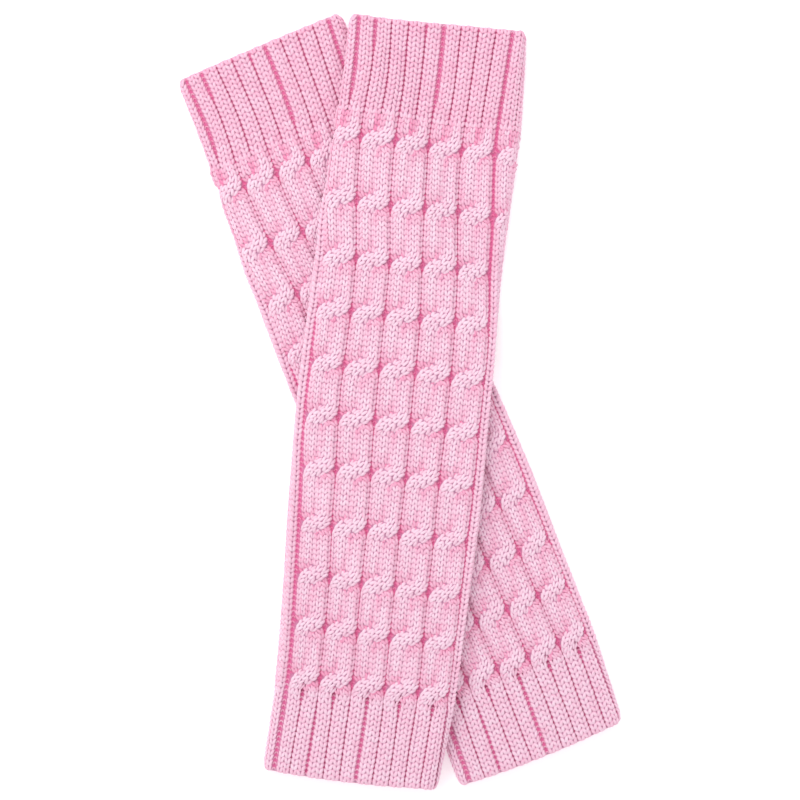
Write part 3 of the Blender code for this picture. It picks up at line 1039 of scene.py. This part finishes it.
def hem_mesh(name, garment, along, template):
    """One joined mesh of the loops round an open end, in an outer and an inner ring."""
    cables = range(FIRST_SHOWN, FIRST_SHOWN + CABLES)
    turns, place, deep = np.meshgrid(cables, HEM_LOOPS, HEM_RINGS, indexing="ij")
    turns, deep = (turns + place).ravel(), deep.ravel()
    outer = deep == HEM_RINGS[0]
    raised = relief(turns, np.full_like(turns, along)) * outer * kept_under(bend_of(turns, along)[2])
    in_gutter = turns % 0.5 == 0
    outer_ring = OUTER_RING_AT - RIB_NEARER * raised + GUTTER_FARTHER * in_gutter
    from_end = np.where(outer, outer_ring, INNER_RING_AT)
    from_end = from_end + np.random.default_rng(HEM_SEED).normal(0, UNEVEN_HEM, len(turns))
    along = np.where(along < LENGTH / 2, from_end, LENGTH - from_end)

    def point_at(ahead, aside):
        return on_tube(garment, turns + aside, along + ahead, raised - deep, fades=False)

    origin = point_at(0.0, 0.0)
    down, right, out, _, step_right = axes_at(point_at, *HEM_SLOPE_STEPS)
    width = step_right * HEM_LOOP_WIDTH
    points = template[0]
    x = width[:, None] * (points[:, 2] - 0.5)
    y = np.broadcast_to(points[:, 0] * HEM_RADII[0] * MM, x.shape)
    z = np.broadcast_to(points[:, 1] * HEM_RADII[1] * MM, x.shape)
    beads = above_floor([placed(origin, right, down, out, x, y, z)])
    # Painted shade on the loops in the gutters and painted highlight on the ribs.
    tone = np.where(outer, HEM_TONE + HEM_RIB_TONE * smooth(raised), INSIDE_HEM_TONE)
    return joined_mesh(name, template, beads, np.broadcast_to(tone[:, None], beads.shape[:2]))


class KNITTING_OT_stage(Operator):
    """Lay the white floor, light it softly and hang the camera straight above"""

    bl_idname = "knitting.stage"
    bl_label = "Set the Stage"

    def execute(self, context):
        settings = context.scene.knit_stage
        make_floor(settings)
        make_light(context.scene, settings)
        make_camera(context.scene, settings)
        return {"FINISHED"}


def make_floor(settings):
    """A plain white floor just under the pair."""
    bm = bmesh.new()
    bmesh.ops.create_grid(bm, x_segments=1, y_segments=1, size=settings.floor / 2)
    bmesh.ops.translate(bm, verts=bm.verts[:], vec=(0, 0, -FLOOR_DROP))
    mesh = bpy.data.meshes.new("floor")
    bm.to_mesh(mesh)
    bm.free()
    material, _, shader = shader_of("white_floor")
    shader.inputs["Base Color"].default_value = (0.93, 0.93, 0.93, 1)
    shader.inputs["Roughness"].default_value = 0.9
    shader.inputs["Emission Color"].default_value = (1, 1, 1, 1)
    shader.inputs["Emission Strength"].default_value = settings.glow
    mesh.materials.append(material)
    floor = bpy.data.objects.new("floor", mesh)
    bpy.context.scene.collection.objects.link(floor)


def make_light(scene, settings):
    """An even white sky and one broad lamp above and to the left."""
    world = bpy.data.worlds.new("even_light")
    world.use_nodes = True
    world.node_tree.nodes["Background"].inputs["Color"].default_value = (1, 1, 1, 1)
    world.node_tree.nodes["Background"].inputs["Strength"].default_value = settings.sky
    scene.world = world
    lamp = bpy.data.lights.new("soft_lamp", "AREA")
    lamp.shape = "DISK"
    lamp.size = LAMP_WIDTH
    lamp.energy = settings.key
    holder = bpy.data.objects.new("soft_lamp", lamp)
    holder.location = LAMP_PLACE
    holder.rotation_euler = LAMP_TILT
    scene.collection.objects.link(holder)
    scene.view_settings.view_transform = "Standard"
    scene.view_settings.look = "None"


def make_camera(scene, settings):
    """A long lens straight above, so that the pair fills the frame as in the photograph."""
    camera = bpy.data.cameras.new("camera")
    camera.lens = settings.lens
    camera.sensor_width = 36.0
    camera.clip_end = 10.0
    holder = bpy.data.objects.new("camera", camera)
    holder.location = (0.0, CAMERA_ASIDE, settings.height)
    scene.collection.objects.link(holder)
    scene.camera = holder


class KNITTING_PT_panel(Panel):
    """Lists the sizes, the colours and the pieces of the leg warmers"""

    bl_idname = "KNITTING_PT_panel"
    bl_label = "Leg Warmers"
    bl_space_type = "VIEW_3D"
    bl_region_type = "UI"
    bl_category = "Knitting"

    def draw(self, context):
        for group in GROUPS:
            settings = getattr(context.scene, group)
            box = self.layout.box()
            for name in settings.__annotations__:
                box.prop(settings, name)
        for operator in OPERATORS:
            self.layout.operator(operator.bl_idname)


GROUPS = {
    "knit_tube": TubeSizes,
    "knit_stitches": StitchSizes,
    "knit_colours": YarnColours,
    "knit_stage": StageSettings,
}
OPERATORS = (KNITTING_OT_cloth, KNITTING_OT_stitches, KNITTING_OT_purls, KNITTING_OT_hems, KNITTING_OT_stage)
CLASSES = (*GROUPS.values(), *OPERATORS, KNITTING_PT_panel)


def register():
    for cls in CLASSES:
        bpy.utils.register_class(cls)
    for name, group in GROUPS.items():
        setattr(bpy.types.Scene, name, PointerProperty(type=group))


def unregister():
    for name in GROUPS:
        delattr(bpy.types.Scene, name)
    for cls in reversed(CLASSES):
        bpy.utils.unregister_class(cls)


def main():
    register()
    bpy.ops.knitting.cloth()
    bpy.ops.knitting.stitches()
    bpy.ops.knitting.purls()
    bpy.ops.knitting.hems()
    bpy.ops.knitting.stage()


if __name__ == "__main__":
    main()
